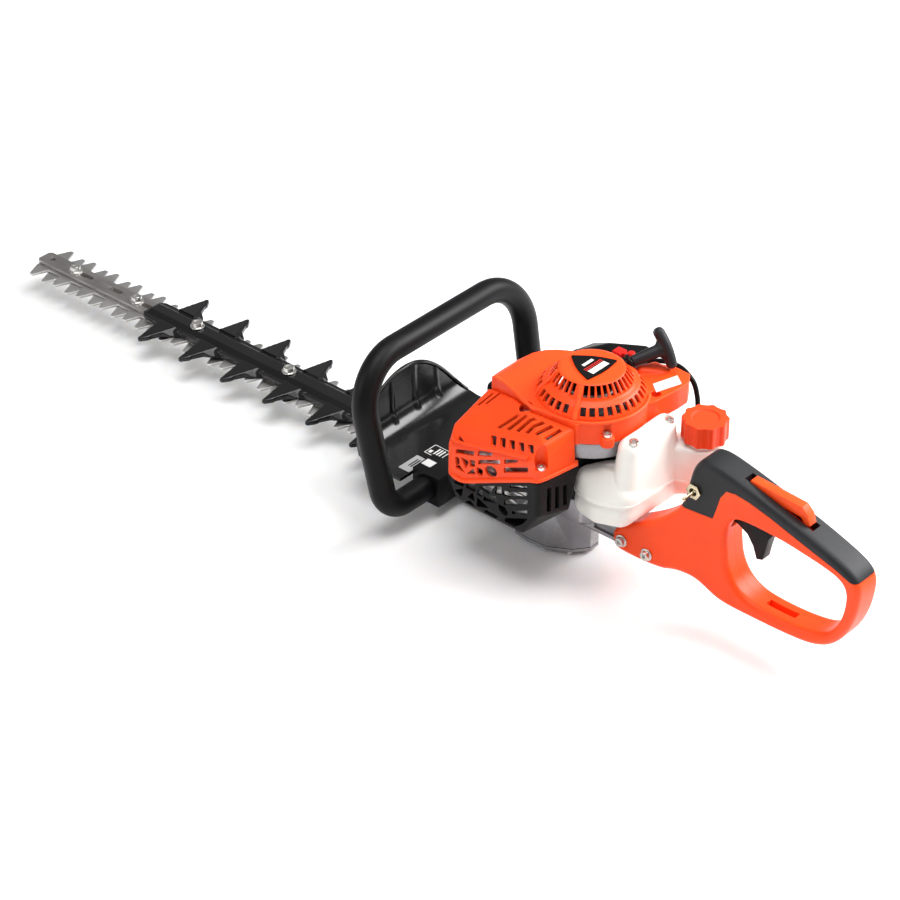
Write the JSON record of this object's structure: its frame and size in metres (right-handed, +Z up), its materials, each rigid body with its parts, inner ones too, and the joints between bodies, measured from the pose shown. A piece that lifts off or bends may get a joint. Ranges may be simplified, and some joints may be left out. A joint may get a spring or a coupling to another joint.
{
  "type": "petrol hedge trimmer",
  "caption": "Handheld petrol hedge trimmer: reciprocating double-sided toothed cutter bar, loop front handle, hand guard, small two-stroke engine and D-shaped rear handle with trigger.",
  "frame": {"origin": "Below the centre of the whole machine's box, on the plane of the skid pad under the gear case.", "axes": "+X from the cutter bar's tip towards the rear handle, +Y to the operator's right, +Z up. The blades slide along X."},
  "size_m": [1.055, 0.2511, 0.2129],
  "materials": {
    "orange_plastic": "glossy moulded",
    "black_plastic": "fine-grained moulded",
    "rubber_grip": "soft matt",
    "blade_steel": "ground",
    "steel": "zinc plated",
    "gear_steel": "machined",
    "cast_aluminium": "die cast",
    "machined_aluminium": "machined",
    "sheet_steel": "pressed sheet",
    "tank_plastic": "translucent moulded",
    "cap_plastic": "glossy moulded",
    "red_plastic": "glossy moulded",
    "gasket": "pressed fibre",
    "foam": "open-cell foam",
    "rope": "braided",
    "switch_metal": "plated",
    "badge": "glossy"
  },
  "bodies": {
    "frame": {"guide_bar": "steel", "blade_bolts": "steel", "blade_nuts": "steel", "blade_guard": "black_plastic", "ball_bearings": "gear_steel", "gearcase_housing": "cast_aluminium", "gearcase_cover": "cast_aluminium", "gearcase_gasket": "gasket", "gearcase_screws": "steel", "crankcase": "cast_aluminium", "engine_cylinder": "cast_aluminium", "spark_plug": "steel", "ignition_lead": "rubber_grip", "ignition_coil": "black_plastic", "muffler": "sheet_steel", "carburettor": "cast_aluminium", "air_cleaner_case": "black_plastic", "air_filter": "foam", "air_cleaner_cover": "black_plastic", "fan_housing": "orange_plastic", "engine_cover": "orange_plastic", "muffler_guard": "black_plastic", "cover_screws": "steel", "rope_guide": "black_plastic", "badge_plate": "badge", "fuel_tank": "tank_plastic", "tank_screws": "steel", "rear_handle_left": "orange_plastic", "rear_handle_right": "orange_plastic", "grip_cover": "black_plastic", "stop_switch": "switch_metal", "handle_bolts": "steel", "throttle_cable": "rubber_grip", "front_handle": "rubber_grip", "handle_bracket": "black_plastic", "hand_guard": "black_plastic"},
    "upper_blade": {"upper_blade": "blade_steel", "upper_con_rod": "gear_steel"},
    "lower_blade": {"lower_blade": "blade_steel", "lower_con_rod": "gear_steel"},
    "gear_train": {"drive_gear": "gear_steel", "eccentric_shaft": "gear_steel"},
    "drum": {"clutch_drum": "gear_steel", "pinion_shaft": "gear_steel"},
    "crank": {"crankshaft": "gear_steel", "flywheel": "machined_aluminium", "clutch_shoes": "gear_steel"},
    "piston": {"piston": "machined_aluminium", "connecting_rod": "gear_steel"},
    "trigger": {"throttle_trigger": "black_plastic"},
    "throttle_arm": {"throttle_arm": "steel"},
    "lockout": {"lockout_lever": "orange_plastic"},
    "switch_lever": {"switch_lever": "switch_metal"},
    "fuel_cap": {"fuel_cap": "cap_plastic"},
    "choke": {"choke_lever": "red_plastic"},
    "primer": {"primer_bulb": "red_plastic"},
    "pull_handle": {"starter_grip": "black_plastic", "starter_rope": "rope"},
    "starter_pulley": {"starter_pulley": "black_plastic", "rope_coil": "rope"}
  },
  "joints": [
    {"name": "upper_blade_slide", "type": "slide", "parent": "frame", "child": "upper_blade", "axis": [1, 0, 0], "range_m": [-0.00875, 0.00875]},
    {"name": "lower_blade_slide", "type": "slide", "parent": "frame", "child": "lower_blade", "axis": [1, 0, 0], "range_m": [-0.00875, 0.00875]},
    {"name": "drum_spin", "type": "hinge", "parent": "frame", "child": "drum", "pos_m": [0.2125, 0.004, 0.066], "axis": [0, 0, 1], "continuous": true},
    {"name": "gear_spin", "type": "hinge", "parent": "frame", "child": "gear_train", "pos_m": [0.18327, 0, 0.038], "axis": [0, 0, 1], "continuous": true},
    {"name": "crank_spin", "type": "hinge", "parent": "frame", "child": "crank", "pos_m": [0.2125, 0.004, 0.106], "axis": [0, 0, 1], "continuous": true},
    {"name": "piston_slide", "type": "slide", "parent": "frame", "child": "piston", "axis": [1, 0, 0], "range_m": [-0.013, 0.013]},
    {"name": "trigger_hinge", "type": "hinge", "parent": "frame", "child": "trigger", "pos_m": [0.3845, 0, 0.129], "axis": [0, -1, 0], "range_deg": [0, 16], "stiffness_Nm_per_rad": 0.5},
    {"name": "throttle_arm_hinge", "type": "hinge", "parent": "frame", "child": "throttle_arm", "pos_m": [0.1565, 0.057, 0.122], "axis": [0, 0, -1], "range_deg": [0, 40]},
    {"name": "lockout_hinge", "type": "hinge", "parent": "frame", "child": "lockout", "pos_m": [0.4025, 0, 0.158], "axis": [0, 1, 0], "range_deg": [0, 10], "stiffness_Nm_per_rad": 0.4},
    {"name": "switch_hinge", "type": "hinge", "parent": "frame", "child": "switch_lever", "pos_m": [0.3485, -0.0155, 0.136], "axis": [-0.8412, 0, 0.5408], "range_deg": [0, 43]},
    {"name": "fuel_cap_turn", "type": "hinge", "parent": "frame", "child": "fuel_cap", "pos_m": [0.3025, 0.058, 0.144], "axis": [0, 0, 1], "range_deg": [0, 540]},
    {"name": "choke_hinge", "type": "hinge", "parent": "frame", "child": "choke", "pos_m": [0.1875, 0.076, 0.171], "axis": [0, 0, 1], "range_deg": [0, 60]},
    {"name": "primer_press", "type": "slide", "parent": "frame", "child": "primer", "axis": [0, 0, 1], "range_m": [0, 0.005], "stiffness_N_per_m": 400},
    {"name": "starter_pull", "type": "slide", "parent": "frame", "child": "pull_handle", "axis": [0.5097, 0.8166, 0.2709], "range_m": [0, 0.7], "stiffness_N_per_m": 20, "springref_m": -0.02},
    {"name": "starter_pulley_spin", "type": "hinge", "parent": "frame", "child": "starter_pulley", "pos_m": [0.2125, 0.004, 0.181], "axis": [0, 0, 1], "range_deg": [-1925, 5]}
  ],
  "couplings": [
    {"joint": "lower_blade_slide", "follows": "upper_blade_slide", "ratio": -1},
    {"joint": "gear_spin", "follows": "drum_spin", "ratio": -0.22917},
    {"joint": "throttle_arm_hinge", "follows": "trigger_hinge", "ratio": 2.5},
    {"joint": "starter_pulley_spin", "follows": "starter_pull", "rad_per_m": -47.8}
  ]
}
